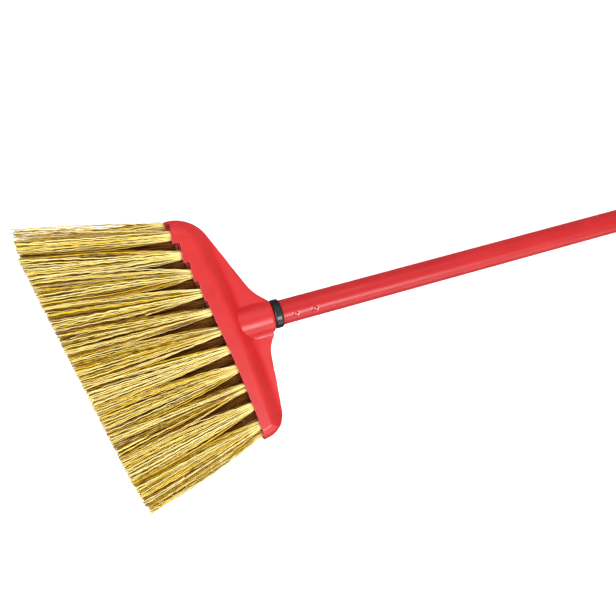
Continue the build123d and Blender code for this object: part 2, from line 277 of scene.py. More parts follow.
class BroomColours(bpy.types.PropertyGroup):
    """Colours of the finishes."""

    head_red: colour("Head red", "Moulded plastic of the head", (0.487, 0.0155, 0.0165))
    head_dark: colour("Head dark red", "Deeper patches of the head", (0.452, 0.012, 0.013))
    # The wear colour is real wear, and on the head's rounded edges also a painted highlight.
    wear_and_edge_highlight: colour("Wear", "Rubbed edges of the head and marks on the tube", (0.61, 0.10, 0.10))
    tube_red: colour("Tube red", "Coat of the tube", (0.43, 0.013, 0.0145))
    tube_dark: colour("Tube dark red", "Deeper patches of the coat", (0.39, 0.0095, 0.012))
    tip_black: colour("Tip black", "Collar and thread", (0.008, 0.0105, 0.0105))
    cap_black: colour("Cap black", "End cap", (0.018, 0.018, 0.02))
    strand_dark: colour("Strand dark", "Darkest strands", (0.12, 0.044, 0.0015))
    strand_gold: colour("Strand gold", "Most strands", (0.99, 0.675, 0.034))
    strand_pale: colour("Strand pale", "Palest strands", (1.0, 0.88, 0.36))
    # Painted shade for strands deep between the rows.
    painted_strand_shade: colour("Strand deep", "Strands deep between the rows", (0.26, 0.095, 0.012))
    staple_steel: colour("Staple steel", "Wire of the staples", (0.56, 0.56, 0.58))
    floor_white: colour("Floor white", "Studio floor", (0.96, 0.96, 0.96))


class BroomStage(bpy.types.PropertyGroup):
    """The camera's place, in the broom's axes, the floor, the backdrop and the lights' powers."""

    camera_place: FloatVectorProperty(
        name="Camera place", description="Where the camera stands", unit="LENGTH",
        default=(-0.1375, 0.0720, 0.7045),
    )
    camera_aim: FloatVectorProperty(
        name="Camera aim", description="What the middle of the picture shows", unit="LENGTH",
        default=(0.0386, -0.0029, 0.0),
    )
    camera_up: FloatVectorProperty(
        name="Camera up", description="Way up of the picture", subtype="DIRECTION",
        default=(0.2563, 0.9658, -0.0386),
    )
    focal_pixels: FloatProperty(
        name="Focal length in pixels", description="Distance of the picture plane", subtype="PIXEL",
        default=712.0,
    )
    floor_size: length("Floor size", "Side of the floor", 14.0)
    floor_glow: share("Floor glow", "Light from under the floor", 0.4)
    wall_start: length("Wall start", "Where the backdrop leaves the floor, from the middle", 5.5)
    wall_reach: length("Wall reach", "How far out the backdrop goes", 16.0)
    wall_height: length("Wall height", "How high the backdrop rises", 12.0)
    key_power: watts("Key power", "Light over the short end", 80.0)
    fill_power: watts("Fill power", "Wide light over the long end", 84.0)
    low_power: watts("Low power", "Low light beside the short end", 15.0)
    glint_power: watts("Glint power", "Glint light past the sweep", 180.0)
    sky: share("Sky", "Even light from above", 0.58)


class BroomSettings(bpy.types.PropertyGroup):
    """All settings of the broom."""

    tufts: PointerProperty(type=BroomTufts)
    tip: PointerProperty(type=BroomTip)
    colours: PointerProperty(type=BroomColours)
    stage: PointerProperty(type=BroomStage)


# Shader helpers


def new_material(name, specular=0.5):
    """A material with a plain shader; returns it with its node tree and its shader node."""
    material = bpy.data.materials.new(name)
    material.use_nodes = True
    tree = material.node_tree
    shader = tree.nodes["Principled BSDF"]
    shader.inputs["Specular IOR Level"].default_value = specular
    return material, tree, shader


def own_place(tree, stretch=(1.0, 1.0, 1.0)):
    """The surface's own coordinates in metres, stretched for grain that runs one way."""
    coordinates = tree.nodes.new("ShaderNodeTexCoord")
    mapping = tree.nodes.new("ShaderNodeMapping")
    mapping.inputs["Scale"].default_value = stretch
    tree.links.new(coordinates.outputs["Object"], mapping.inputs["Vector"])
    return mapping.outputs["Vector"]


def noise(tree, place, per_metre, detail=3.0):
    """Cloudy values from nought to one, with so many patches in a metre."""
    texture = tree.nodes.new("ShaderNodeTexNoise")
    texture.inputs["Scale"].default_value = per_metre
    texture.inputs["Detail"].default_value = detail
    tree.links.new(place, texture.inputs["Vector"])
    return texture.outputs["Fac"]


def spread(tree, value, reads, gives=(0.0, 1.0)):
    """A value read between two bounds and given between two others."""
    node = tree.nodes.new("ShaderNodeMapRange")
    for name, number in zip(("From Min", "From Max", "To Min", "To Max"), (*reads, *gives)):
        node.inputs[name].default_value = number
    tree.links.new(value, node.inputs["Value"])
    return node.outputs["Result"]


def combine(tree, operation, first, second):
    """Two values put together by an operation of the Math node."""
    node = tree.nodes.new("ShaderNodeMath")
    node.operation = operation
    for socket, value in zip(node.inputs, (first, second)):
        tree.links.new(value, socket)
    return node.outputs["Value"]


def scaled(tint, factor):
    """A colour with each of its values times a factor."""
    return [value * factor for value in tint]


def blend_colours(tree, factor, first, second):
    """A colour between two, each an output socket or plain numbers."""
    node = tree.nodes.new("ShaderNodeMix")
    node.data_type = "RGBA"
    tree.links.new(factor, node.inputs["Factor"])
    for socket, value in ((node.inputs[MIX_FIRST], first), (node.inputs[MIX_SECOND], second)):
        if isinstance(value, bpy.types.NodeSocket):
            tree.links.new(value, socket)
        else:
            socket.default_value = (*value, 1.0)
    return node.outputs[MIX_RESULT]


def raise_surface(tree, shader, height, depth, strength, below=None):
    """Bumps the shader's surface by a height, on top of an earlier normal if one is given."""
    node = tree.nodes.new("ShaderNodeBump")
    node.inputs["Distance"].default_value = depth
    node.inputs["Strength"].default_value = strength
    tree.links.new(height, node.inputs["Height"])
    if below is not None:
        tree.links.new(below, node.inputs["Normal"])
    tree.links.new(node.outputs["Normal"], shader.inputs["Normal"])
    return node.outputs["Normal"]


def edge_normal(tree, radius):
    """The surface's normal with its sharp edges rounded to a small radius."""
    node = tree.nodes.new("ShaderNodeBevel")
    node.samples = 6
    node.inputs["Radius"].default_value = radius
    return node.outputs["Normal"]


def edge_mask(tree, rounded):
    """One on rounded edges, falling to nought on the flat faces beside them."""
    geometry = tree.nodes.new("ShaderNodeNewGeometry")
    dot = tree.nodes.new("ShaderNodeVectorMath")
    dot.operation = "DOT_PRODUCT"
    tree.links.new(geometry.outputs["Normal"], dot.inputs[0])
    tree.links.new(rounded, dot.inputs[1])
    return spread(tree, dot.outputs["Value"], reads=(0.995, 0.86))


def nearest_of(tree, place, centres):
    """How far the surface is from the nearest of a few centres."""
    nearest = None
    for centre in centres:
        node = tree.nodes.new("ShaderNodeVectorMath")
        node.operation = "DISTANCE"
        tree.links.new(place, node.inputs[0])
        node.inputs[1].default_value = centre
        apart = node.outputs["Value"]
        nearest = apart if nearest is None else combine(tree, "MINIMUM", nearest, apart)
    return nearest


# Finishes


def moulded_red(colours):
    """Satin moulded plastic of the head, with faint flow patches, grain and worn edges that carry a painted
    highlight.
    """
    material, tree, shader = new_material("moulded_red", specular=0.45)
    place = own_place(tree)
    rounded = edge_normal(tree, radius=0.0009)
    patches = spread(tree, noise(tree, place, per_metre=38.0), reads=(0.35, 0.68))
    body = blend_colours(tree, patches, colours.head_red, colours.head_dark)
    scuffs = noise(tree, place, per_metre=240.0, detail=5.0)
    # Lighter rounded edges: partly worn, partly a painted edge highlight.
    rubbed_and_highlit = spread(tree, scuffs, reads=(0.42, 0.66), gives=(0.0, 0.55))
    wear = combine(tree, "MULTIPLY", edge_mask(tree, rounded), rubbed_and_highlit)
    paint = blend_colours(tree, wear, body, colours.wear_and_edge_highlight)
    tree.links.new(paint, shader.inputs["Base Color"])
    sheen = noise(tree, place, per_metre=95.0, detail=4.0)
    gloss = spread(tree, sheen, reads=(0.3, 0.7), gives=(0.31, 0.39))
    tree.links.new(gloss, shader.inputs["Roughness"])
    sinks = noise(tree, place, per_metre=26.0, detail=2.0)
    sunk = raise_surface(tree, shader, sinks, depth=0.0009, strength=0.35, below=rounded)
    grain = noise(tree, place, per_metre=2600.0, detail=2.0)
    raise_surface(tree, shader, grain, depth=0.00003, strength=0.3, below=sunk)
    return material


def crimp_places(tip):
    """Centres of the balls that press the crimps, in the broom's axes."""
    first = tip.collar_width + tip.crimp_first
    y, z = -tip.crimp_out * sin(tip.crimp_turn), tip.crimp_out * cos(tip.crimp_turn)
    return np.array([(first + k * tip.crimp_spacing, y, z) for k in range(CRIMPS)])


def coated_red(colours, tip):
    """Smooth coat of the tube, with orange peel, fine marks along the handle and crimps pressed shiny."""
    material, tree, shader = new_material("coated_red", specular=0.36)
    place = own_place(tree)
    along = own_place(tree, stretch=(5.0, 700.0, 700.0))
    patches = spread(tree, noise(tree, place, per_metre=22.0), reads=(0.35, 0.7))
    body = blend_colours(tree, patches, colours.tube_red, colours.tube_dark)
    scuffs = noise(tree, along, per_metre=1.0, detail=2.0)
    marks = spread(tree, scuffs, reads=(0.67, 0.74), gives=(0.0, 0.35))
    paint = blend_colours(tree, marks, body, colours.wear_and_edge_highlight)
    tree.links.new(paint, shader.inputs["Base Color"])
    gloss = spread(tree, noise(tree, along, per_metre=1.0), reads=(0.3, 0.75), gives=(0.30, 0.42))
    from_crimp = nearest_of(tree, place, to_frame(crimp_places(tip)))
    pressed = spread(tree, from_crimp, reads=CRIMP_RIM, gives=(0.3, 1.0))
    tree.links.new(combine(tree, "MULTIPLY", gloss, pressed), shader.inputs["Roughness"])
    shine = spread(tree, from_crimp, reads=CRIMP_RIM, gives=(1.0, 0.0))
    tree.links.new(shine, shader.inputs["Coat Weight"])
    shader.inputs["Coat Roughness"].default_value = 0.1
    peel = noise(tree, place, per_metre=420.0, detail=2.0)
    raise_surface(tree, shader, peel, depth=0.00012, strength=0.25)
    return material


def moulded_black(name, tint, roughness):
    """Black moulded plastic with fine grain and a dusty bloom."""
    material, tree, shader = new_material(name)
    place = own_place(tree)
    dust = noise(tree, place, per_metre=130.0, detail=4.0)
    bloom = spread(tree, dust, reads=(0.45, 0.8), gives=(0.0, 0.5))
    paint = blend_colours(tree, bloom, tint, scaled(tint, factor=2.0))
    tree.links.new(paint, shader.inputs["Base Color"])
    sheen = noise(tree, place, per_metre=300.0)
    gloss = spread(tree, sheen, reads=(0.3, 0.7), gives=(roughness - 0.06, roughness + 0.08))
    tree.links.new(gloss, shader.inputs["Roughness"])
    rounded = edge_normal(tree, radius=0.0004)
    grain = noise(tree, place, per_metre=1800.0, detail=2.0)
    raise_surface(tree, shader, grain, depth=0.000025, strength=0.3, below=rounded)
    return material


def crimped_strand(colours):
    """Golden filament: each strand has its own tone, paler at root and tip, with painted shade between the rows.
    """
    material, tree, shader = new_material("crimped_strand", specular=0.16)
    shader.inputs["Roughness"].default_value = 0.32
    data = tree.nodes.new("ShaderNodeAttribute")
    data.attribute_name = STRAND_DATA
    parts = tree.nodes.new("ShaderNodeSeparateColor")
    tree.links.new(data.outputs["Color"], parts.inputs["Color"])
    ramp = tree.nodes.new("ShaderNodeValToRGB")
    stops = ramp.color_ramp.elements
    stops[0].color = (*colours.strand_dark, 1.0)
    stops[1].color = (*colours.strand_pale, 1.0)
    stops.new(GOLD_TONE).color = (*colours.strand_gold, 1.0)
    tree.links.new(parts.outputs["Red"], ramp.inputs["Fac"])
    pale = blend_colours(tree, parts.outputs["Green"], ramp.outputs["Color"], colours.strand_pale)
    # The blue channel mixes in the painted shade.
    deep = blend_colours(tree, parts.outputs["Blue"], pale, colours.painted_strand_shade)
    tree.links.new(deep, shader.inputs["Base Color"])
    return material


def staple_wire(colours):
    """Drawn steel wire."""
    material, tree, shader = new_material("staple_wire")
    shader.inputs["Metallic"].default_value = 1.0
    place = own_place(tree)
    streaks = spread(tree, noise(tree, place, per_metre=900.0, detail=4.0), reads=(0.3, 0.7))
    dull = scaled(colours.staple_steel, factor=0.6)
    paint = blend_colours(tree, streaks, colours.staple_steel, dull)
    tree.links.new(paint, shader.inputs["Base Color"])
    gloss = spread(tree, streaks, reads=(0.0, 1.0), gives=(0.25, 0.5))
    tree.links.new(gloss, shader.inputs["Roughness"])
    return material


def studio_white(colours, glow):
    """Pale floor with a faint unevenness, lit a little from below."""
    material, tree, shader = new_material("studio_white", specular=0.2)
    shader.inputs["Roughness"].default_value = 0.8
    shader.inputs["Emission Color"].default_value = WHITE
    shader.inputs["Emission Strength"].default_value = glow
    place = own_place(tree)
    patches = spread(tree, noise(tree, place, per_metre=2.0), reads=(0.3, 0.7), gives=(0.0, 0.5))
    shade = scaled(colours.floor_white, factor=0.985)
    paint = blend_colours(tree, patches, colours.floor_white, shade)
    tree.links.new(paint, shader.inputs["Base Color"])
    return material


# Pieces


def give_finish(node, material):
    """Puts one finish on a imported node."""
    slots = frame["nodes"][node].data.materials
    slots.clear()
    slots.append(material)


def new_piece(name, mesh, material, body, node):
    """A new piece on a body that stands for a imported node."""
    mesh.materials.append(material)
    piece = bpy.data.objects.new(name, mesh)
    bpy.context.scene.collection.objects.link(piece)
    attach(piece, body)
    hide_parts(node)


def smooth_faces(mesh):
    """Shades all faces of a mesh smooth."""
    mesh.polygons.foreach_set("use_smooth", np.ones(len(mesh.polygons), bool))


def ring_faces(rows, around):
    """Faces between rows of points that each go once round."""
    faces = []
    for first in range(0, (rows - 1) * around, around):
        for k in range(around):
            after = (k + 1) % around
            faces.append((first + k, first + around + k, first + around + after, first + after))
    return faces


def smooth_step(value, low, high):
    """Nought below low, one above high and a smooth rise between."""
    t = np.clip((value - low) / (high - low), 0.0, 1.0)
    return t * t * (3 - 2 * t)


# Tufts


def tufts_in(tufts, row):
    """How many tufts a row has: every second row has one more."""
    return tufts.front_tufts + row % 2


def tuft_stations(tufts, row):
    """Places of a row's tufts along the bar, from the long end."""
    count = tufts_in(tufts, row)
    first = (count - 1) * tufts.pitch / 2
    return [first - k * tufts.pitch for k in range(count)]


def row_height(row, spacing):
    """Height of a row above the middle of the bar."""
    return ((len(ROWS) - 1) / 2 - row) * spacing


def tuft_axes(tufts, row, station):
    """A tuft's root and its ways across the row, up through the rows and out to the sweep."""
    lean = tufts.bar_angle + station / tufts.bar_radius
    x = tufts.bar_radius * (cos(lean) - cos(tufts.bar_angle)) - tufts.seat
    y = tufts.bar_radius * (sin(lean) - sin(tufts.bar_angle))
    root = np.array([x, y, row_height(row, tufts.row_spacing)])
    last = tufts.front_tufts * tufts.pitch / 2
    bend = sin(tufts.fan_bend * station / last) / sin(tufts.fan_bend)
    heading = tufts.fan_middle + tufts.fan_half * bend
    rise = row_height(row, tufts.tip_row_spacing) - row_height(row, tufts.row_spacing)
    lift = atan(rise / tufts.trim_length)
    out = np.array([-cos(heading) * cos(lift), sin(heading) * cos(lift), sin(lift)])
    across = np.array([-sin(heading), -cos(heading), 0.0])
    return root, across, np.cross(out, across), out


def tuft_reaches(tufts, row, k):
    """Half widths of a tuft at the sweep, towards the long end and towards the short end."""
    parted = tufts.parting if row in (0, len(ROWS) - 1) else 0.0
    long_way = short_way = tufts.tip_reach
    if k == 0:
        long_way = tufts.long_reach - row % 2 * tufts.pitch / 2
        short_way -= parted
    if k == 1:
        long_way -= parted
    if k == tufts_in(tufts, row) - 1:
        short_way = tufts.short_reach
    return long_way, short_way


def tuft_outward(places):
    """The way out of the tuft at each point of its strands, in the tuft's cross section."""
    apart = places - places.mean(axis=0)
    outward = apart / (apart**2).mean(axis=0)
    return outward / np.maximum(np.linalg.norm(outward, axis=2, keepdims=True), LEAST)


# Strands


def disc_spots(count, random):
    """Spots that fill a disc of radius one evenly, each a little off its place."""
    k = np.arange(count) + 0.5
    golden = pi * (3 - 5**0.5)
    distance = np.sqrt(k / count)
    spots = np.stack([distance * np.cos(k * golden), distance * np.sin(k * golden)], axis=1)
    return spots + random.normal(0.0, SPOT_JITTER, spots.shape)


def even_share(spots):
    """Places across a disc, moved apart so that they fill its width evenly."""
    inside = np.clip(spots[:, 0], -1.0, 1.0)
    return 2 / pi * (inside * np.sqrt(1 - inside**2) + np.arcsin(inside))


def tip_spots(tufts, spots, reaches, random):
    """Places of the strands' tips across their tuft, drawn together in locks, and each strand's lock."""
    long_way, short_way = reaches
    across = (short_way - long_way) / 2 + even_share(spots) * (short_way + long_way) / 2
    tips = np.stack([across, spots[:, 1] * tufts.tip_depth], axis=1)
    middles = tips[random.choice(len(tips), tufts.locks, replace=False)]
    lock = np.linalg.norm(tips[:, None, :] - middles[None, :, :], axis=2).argmin(axis=1)
    return tips + (middles[lock] - tips) * tufts.gather, lock


def stray_tips(tufts, tips, k, random):
    """Moves the tips off their even places; returns them and which strands wander."""
    tips = tips + random.normal(0.0, TIP_JITTER, tips.shape)
    wander = random.random(len(tips)) < tufts.stray
    tips[wander] += random.normal(0.0, STRAY_JITTER, (int(wander.sum()), 2))
    if k == 0:
        outer = np.argsort(tips[:, 0])[:OUTER_STRAYS]
        tips[outer, 0] -= tufts.splay * random.random(OUTER_STRAYS)
    return tips, wander


def strand_lengths(tufts, axes, tips, wander, random):
    """How far each strand goes out to the sweep, which is uneven and worn at its corners."""
    root, across, up, out = axes
    toward = np.array([-cos(tufts.trim_angle), -sin(tufts.trim_angle), 0.0])
    trim = np.array([-tufts.seat - tufts.trim_length, 0.0, 0.0])
    spare = (trim - root) @ toward - tips[:, 0] * (across @ toward) - tips[:, 1] * (up @ toward)
    reach = spare / (out @ toward) - np.abs(random.normal(0.0, tufts.ragged, len(tips)))
    reach[wander] += random.uniform(-STRAY_LENGTH, STRAY_LENGTH, int(wander.sum()))
    side = root[1] + tips[:, 0] * across[1] + reach * out[1]
    wear = smooth_step(side, *LONG_CORNER) + SHORT_WEAR * smooth_step(-side, *SHORT_CORNER)
    return reach - tufts.worn * wear


def strand_bends(tufts, open_share, lock, random):
    """How far each strand sways and curls off its line, in the tuft's cross section."""
    shape = (len(lock), 2)
    sway = random.normal(0.0, STRAND_SWAY, shape)
    sway = sway + random.normal(0.0, LOCK_SWAY, (tufts.locks, 2))[lock]
    curl = random.normal(0.0, CURL, shape)
    swaying = sway[:, None, :] * np.sin(pi * open_share)[:, :, None]
    curling = curl[:, None, :] * np.sin(CURL_BENDS * pi * open_share)[:, :, None]
    return swaying, curling


def strand_waves(tufts, along, lock, random):
    """Each strand's crimp, in the tuft's cross section."""
    count = len(lock)
    pitch = tufts.crimp_pitch * random.normal(1.0, PITCH_JITTER, count)
    start = random.random() + random.normal(0.0, STRAND_PHASE_JITTER, count)
    start = start + random.normal(0.0, LOCK_PHASE_JITTER, tufts.locks)[lock]
    phase = 2 * pi * (along / pitch[:, None] + start[:, None])
    height = tufts.crimp * random.uniform(*CRIMP_HEIGHTS, count)
    wave = height[:, None] * np.sin(phase) * smooth_step(along, *CRIMP_RUN)
    facing = random.normal(CRIMP_FACING, CRIMP_FACING_JITTER, count)
    return np.stack([wave * np.cos(facing)[:, None], wave * np.sin(facing)[:, None]], axis=-1)


def strand_lines(tufts, axes, row, k, random):
    """Middle lines of a tuft's strands: places across it, lengths along it and each strand's lock."""
    last = k == tufts_in(tufts, row) - 1
    spots = disc_spots(round(tufts.strands * (END_FULLNESS if last else 1.0)), random)
    tips, lock = tip_spots(tufts, spots, tuft_reaches(tufts, row, k), random)
    tips, wander = stray_tips(tufts, tips, k, random)
    reach = strand_lengths(tufts, axes, tips, wander, random)
    along = -tufts.sunk + (reach + tufts.sunk)[:, None] * np.linspace(0.0, 1.0, STRAND_STEPS + 1)
    open_share = np.clip(along / reach[:, None], 0.0, 1.0)
    past_root = np.clip((along - tufts.root_run) / (reach[:, None] - tufts.root_run), 0.0, 1.0)
    ease = np.stack([1 - (1 - past_root) ** tufts.flare, past_root], axis=-1)
    feet = spots * (tufts.hole - tufts.strand) / 2
    roots = np.stack([even_share(spots) * tufts.root_reach, spots[:, 1] * tufts.root_depth], axis=1)
    swell = smooth_step(along, 0.0, SWELL_RUN)[:, :, None]
    places = feet[:, None, :] + (roots - feet)[:, None, :] * swell
    places = places + (tips[:, None, :] - places) * ease
    swaying, curling = strand_bends(tufts, open_share, lock, random)
    places = places + swaying + curling + strand_waves(tufts, along, lock, random)
    return places, along, open_share, lock


def strand_depth(tufts, line, places, open_share, row, k):
    """How deep each point of the strands lies between the rows, below the brush's nearest outside."""
    half_hole = tufts.hole / 2
    spacing = tufts.row_spacing + (tufts.tip_row_spacing - tufts.row_spacing) * open_share
    half_depth = half_hole + (tufts.tip_depth - half_hole) * open_share
    depth = row_height(0, spacing) + half_depth - np.abs(line[:, :, 2])
    long_way, short_way = tuft_reaches(tufts, row, k)
    if k == 0:
        depth = np.minimum(depth, places[:, :, 0] + half_hole + (long_way - half_hole) * open_share)
    if k == tufts_in(tufts, row) - 1:
        depth = np.minimum(depth, half_hole + (short_way - half_hole) * open_share - places[:, :, 0])
    return depth


def strand_tones(tufts, depth, along, open_share, lock, random):
    """Each point's tone, paleness and painted shade, for the strands' finish."""
    count = len(lock)
    tone = random.normal(TONE, TONE_JITTER, count)
    tone = tone + random.normal(0.0, LOCK_TONE_JITTER, tufts.locks)[lock]
    # Dark locks and strands: random tone, partly painted shade for the gaps between locks.
    dark = (random.random(tufts.locks) < tufts.shaded)[lock] | (random.random(count) < tufts.dark)
    tone[dark] = random.uniform(*DARK_TONES, int(dark.sum()))
    # Painted highlight: a share of strands get the palest tone.
    tone[random.random(count) < tufts.bright] = 1.0
    # Painted light: strands near the outside, apart from dark ones, are lifted to a paler tone.
    painted_light = PAINTED_LIGHT_LIFT * (1 - smooth_step(depth, *PAINTED_LIGHT_DEPTHS)) * np.where(dark, 0.0, 1.0)[:, None]
    pale = ROOT_PALENESS * (1 - smooth_step(along, *ROOT_RUN))
    pale = pale + TIP_PALENESS * smooth_step(open_share, *TIP_RUN)
    lit = 1 - SHADE_LOSS * smooth_step(open_share, *SHADE_LOSS_RUN)
    data = np.ones((*depth.shape, 4), np.float32)
    data[..., 0] = np.clip(tone[:, None] + painted_light, 0.0, 1.0)
    data[..., 1] = pale * np.where(dark, DARK_PALENESS, 1.0)[:, None]
    # Painted shade deep between the rows, fading towards the sweep.
    data[..., 2] = smooth_step(depth, *SHADE_DEPTHS) * lit
    return data


def strand_corners(outward, random):
    """Ways from each strand's line out to its corners, in the tuft's cross section."""
    count, rings = outward.shape[:2]
    middle = outward[:, rings // 2]
    facing = np.arctan2(middle[:, 1], middle[:, 0]) + random.normal(0.0, CORNER_JITTER, count)
    angle = facing[:, None] + np.arange(STRAND_SIDES) * 2 * pi / STRAND_SIDES
    return np.stack([np.cos(angle), np.sin(angle)], axis=-1)


def corner_tones(tufts, tones, along, outward, corners):
    """The strands' tones at each of their corners, with painted shade on their inner sides."""
    facing = np.einsum("nrc,nsc->nrs", outward, corners)
    # Painted shade on the corners that face into the tuft.
    inner = tufts.painted_inner_shade * smooth_step(-facing, *INNER_SIDES)
    inner *= (INNER_LEAST + (1 - INNER_LEAST) * smooth_step(along, *INNER_RUN))[:, :, None]
    tones = np.repeat(tones[:, :, None, :], STRAND_SIDES, axis=2)
    tones[..., 2] = 1 - (1 - tones[..., 2]) * (1 - inner)
    return tones


def strand_faces(count, rings):
    """Faces of so many strands, with their ends closed: all walls, then all feet, then all tips."""
    base = np.arange(count)[:, None, None] * rings * STRAND_SIDES
    ring = np.arange(rings - 1)[None, :, None] * STRAND_SIDES
    side = np.arange(STRAND_SIDES)
    after = (side + 1) % STRAND_SIDES
    low, high = base + ring, base + ring + STRAND_SIDES
    walls = np.stack([low + side, low + after, high + after, high + side], axis=-1).reshape(-1, 4)
    feet = base[:, 0] + side[::-1]
    tips = base[:, 0] + (rings - 1) * STRAND_SIDES + side
    return walls.tolist() + feet.tolist() + tips.tolist()


def strand_chart(count, rings):
    """Where the corners of the strands' faces lie on the map: each strand has a strip of its own."""
    shape = (count, rings - 1, STRAND_SIDES)
    strip = np.arange(count)[:, None, None]
    side = np.arange(STRAND_SIDES)
    left = np.broadcast_to((strip + side / STRAND_SIDES) / count, shape)
    right = np.broadcast_to((strip + (side + 1) / STRAND_SIDES) / count, shape)
    bottom = np.broadcast_to(np.arange(rings - 1)[None, :, None] / (rings - 1), shape)
    top = bottom + 1 / (rings - 1)
    corners = ((left, bottom), (right, bottom), (right, top), (left, top))
    walls = np.stack([np.stack(corner, axis=-1) for corner in corners], axis=-2)
    across = (np.arange(count)[:, None] + np.linspace(*CAP_SPAN, STRAND_SIDES)) / count
    feet, tips = (np.stack([across, np.full_like(across, level)], axis=-1) for level in (0.0, 1.0))
    return np.concatenate([walls.ravel(), feet.ravel(), tips.ravel()]).astype(np.float32)


def strand_mesh(name, tufts, row, k, station, random):
    """One mesh of slim four-sided strands, closed at both ends, with a tone for each strand."""
    axes = tuft_axes(tufts, row, station)
    root, across, up, out = axes
    places, along, open_share, lock = strand_lines(tufts, axes, row, k, random)
    line = root + places[:, :, :1] * across + places[:, :, 1:] * up + along[:, :, None] * out
    depth = strand_depth(tufts, line, places, open_share, row, k)
    tones = strand_tones(tufts, depth, along, open_share, lock, random)
    outward = tuft_outward(places)
    corners = strand_corners(outward, random)
    tones = corner_tones(tufts, tones, along, outward, corners)

    # No strand goes through the floor.
    radius = tufts.strand / 2
    line = to_frame(line)
    line[:, :, 2] = np.maximum(line[:, :, 2], radius)
    rim = corners @ np.stack([BROOM_AXES @ across, BROOM_AXES @ up])
    points = line[:, :, None, :] + radius * rim[:, None, :, :]

    count, rings = line.shape[:2]
    mesh = bpy.data.meshes.new(name)
    mesh.from_pydata(points.reshape(-1, 3).tolist(), [], strand_faces(count, rings))
    layer = mesh.color_attributes.new(STRAND_DATA, "FLOAT_COLOR", "POINT")
    layer.data.foreach_set("color", tones.ravel())
    chart = mesh.uv_layers.new(name=BAKE_MAP)
    chart.uv.foreach_set("vector", strand_chart(count, rings))
    smooth_faces(mesh)
    mesh.update()
    return mesh


# Threaded tip


def tip_profile(tip):
    """Outline of the tip as (along the handle, radius) from its point to the end of its plug."""
    stub, collar, plug = tip.stub_diameter / 2, tip.collar_diameter / 2, tip.plug_diameter / 2
    outline = [(-tip.stub_length, 0.0), (-tip.stub_length, stub - tip.stub_point)]
    steps = round(tip.stub_length / tip.thread_pitch * TURN_STEPS)
    first = -tip.stub_length + tip.stub_point
    outline += [(first * (1 - k / steps), stub) for k in range(steps + 1)]
    bend = [radians(degrees) for degrees in EDGE_DEGREES]
    edge = tip.collar_edge
    outline += [(edge - edge * cos(a), collar - edge + edge * sin(a)) for a in bend]
    far = tip.collar_width - edge
    outline += [(far + edge * sin(a), collar - edge + edge * cos(a)) for a in bend]
    end = tip.collar_width + tip.plug_length
    outline += [(place, plug) for place in np.arange(tip.collar_width, end - tip.plug_edge, PLUG_STEP)]
    outline += [(end - tip.plug_edge, plug), (end, plug - tip.plug_edge), (end, 0.0)]
    return outline


def thread_cut(tip, along, angle):
    """Depth of the thread at a place on the stub: flat crests, sloped flanks and flat roots."""
    phase = (along / tip.thread_pitch - angle / (2 * pi)) % 1.0
    groove = smooth_step(-np.abs(phase - 0.5), -GROOVE_TOP, -GROOVE_FLOOR)
    start, full = (-tip.stub_length + run for run in POINT_RUN)
    run = smooth_step(along, start, full) * smooth_step(-along, *COLLAR_RUN)
    return tip.thread_depth * groove * run


def press_crimps(tip, points):
    """Presses the plug in under the tube's crimps."""
    way = np.array([0.0, -sin(tip.crimp_turn), cos(tip.crimp_turn)])
    for centre in crimp_places(tip):
        apart = points - centre
        room = tip.crimp_dent**2 - apart[:, 0] ** 2
        off_axis = (apart[:, 1:] ** 2).sum(axis=1)
        outward = apart[:, 1:] @ way[1:]
        floor = -np.sqrt(np.maximum(room - (off_axis - outward**2), 0.0))
        points += np.where(room > off_axis, floor - outward, 0.0)[:, None] * way
    return points


def tip_mesh(tip):
    """The tip as one turned form with its thread cut into the stub and its plug pressed in by the crimps."""
    outline = np.array(tip_profile(tip))
    angle = np.arange(TIP_SIDES) * 2 * pi / TIP_SIDES
    along, radius = outline[1:-1, 0][:, None], outline[1:-1, 1][:, None]
    on_stub = (along < 0) & (radius > tip.stub_diameter / 2 - TOUCH)
    radius = radius - np.where(on_stub, thread_cut(tip, along, angle[None, :]), 0.0)
    ring = np.stack(
        [np.broadcast_to(along, radius.shape), radius * np.cos(angle), radius * np.sin(angle)], axis=-1
    )
    ends = np.array([[outline[0, 0], 0.0, 0.0], [outline[-1, 0], 0.0, 0.0]])
    points = to_frame(press_crimps(tip, np.concatenate([ring.reshape(-1, 3), ends])))
    faces = ring_faces(len(ring), TIP_SIDES)
    point = len(ring) * TIP_SIDES
    last = point - TIP_SIDES
    for k in range(TIP_SIDES):
        after = (k + 1) % TIP_SIDES
        faces.append((point, k, after))
        faces.append((point + 1, last + after, last + k))
    mesh = bpy.data.meshes.new("threaded_tip_dressed")
    mesh.from_pydata(points.tolist(), [], faces)
    smooth_faces(mesh)
    mesh.set_sharp_from_angle(angle=SHARP_ANGLE)
    return mesh


# Stage


def aim(thing, place, target, up):
    """Stands a camera or light at a place, facing a target."""
    forward = (target - place).normalized()
    side = forward.cross(up).normalized()
    over = side.cross(forward)
    turned = Matrix((side, over, -forward)).transposed().to_4x4()
    thing.matrix_world = Matrix.Translation(place) @ turned


def soft_light(name, sides, power, place, gloss=True, body=True):
    """A soft light with sides across and along the handle, which may give no gloss or gloss alone."""
    lamp = bpy.data.lights.new(name, "AREA")
    lamp.shape = "RECTANGLE"
    lamp.size, lamp.size_y = sides
    lamp.energy = power
    thing = bpy.data.objects.new(name, lamp)
    bpy.context.scene.collection.objects.link(thing)
    thing.visible_glossy = gloss
    thing.visible_diffuse = body
    aim(thing, at(place), at(LIGHT_AIM), HANDLE_WAY)


def set_lights(stage):
    """Sets the lights, with their sides in metres and their places in the broom's axes."""
    soft_light("key_light", sides=(1.15, 1.9), power=stage.key_power, place=(0.45, -1.75, 2.45))
    soft_light(
        "fill_light", sides=(2.4, 2.4), power=stage.fill_power, place=(0.3, 2.0, 2.4), gloss=False
    )
    soft_light("low_light", sides=(0.7, 2.4), power=stage.low_power, place=(0.9, -2.4, 0.4))
    soft_light(
        "glint_light", sides=(2.6, 2.0), power=stage.glint_power, place=(-2.3, -0.4, 1.1), body=False
    )


